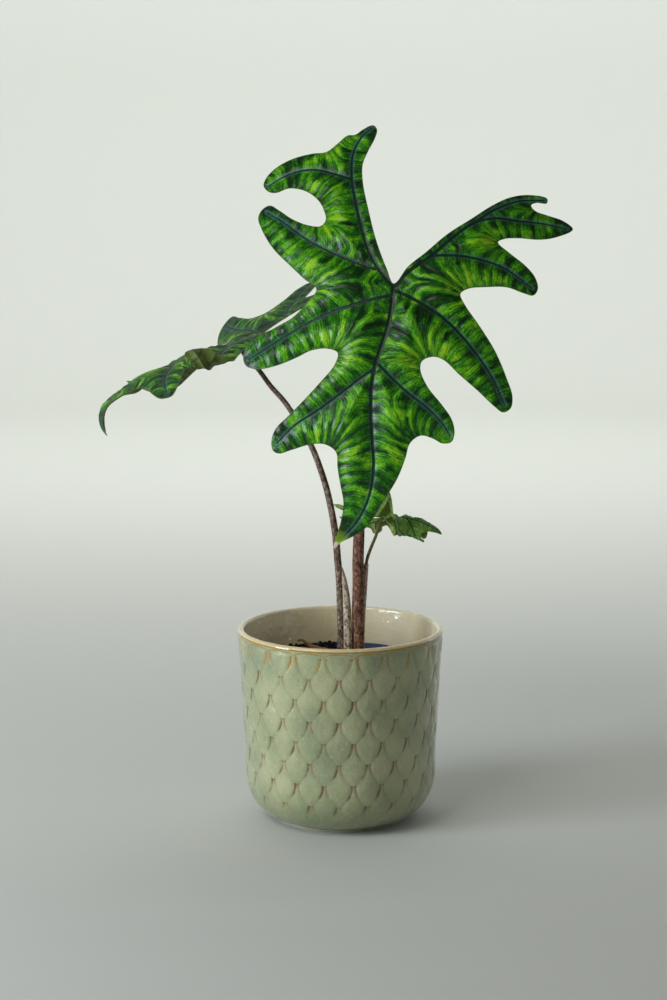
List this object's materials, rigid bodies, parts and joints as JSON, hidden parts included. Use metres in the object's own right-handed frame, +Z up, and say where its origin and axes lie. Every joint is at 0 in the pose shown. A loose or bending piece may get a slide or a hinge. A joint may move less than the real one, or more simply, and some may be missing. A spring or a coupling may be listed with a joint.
{
  "type": "potted alocasia",
  "caption": "Alocasia plant with deeply lobed, veined leaves on speckled stems, potted in a plastic grow pot inside a glazed round pot with a scale relief.",
  "frame": {"origin": "middle of the flat underside of the glazed pot's foot, on the surface that the plant stands on", "axes": "+Z up along the pot's axis; -Y is the front, which the largest leaf faces; +X is to the right seen from the front"},
  "size_m": [0.3215, 0.2296, 0.4674],
  "materials": {
    "glaze": "glossy sage green glaze with ochre and rust breaks along the relief, cream inside and on the lip",
    "plastic": "satin dark blue plastic",
    "soil": "loose dark peat and bark",
    "stem": "satin, brown-purple with dark mottling",
    "main_blade": "satin, lime to mid green with dark cross-bands and veins",
    "old_blade": "satin, duller green with dark cross-bands and veins",
    "dry_sheath": "dry, papery tan with dark brown ends"
  },
  "bodies": {
    "root": {"glazed_pot": "glaze", "grow_pot": "plastic", "soil": "soil", "main_stem": "stem", "left_stem": "stem", "small_stem": "stem", "main_leaf": "main_blade", "left_leaf": "old_blade", "small_leaf": "old_blade", "dry_sheath": "dry_sheath"}
  },
  "joints": []
}
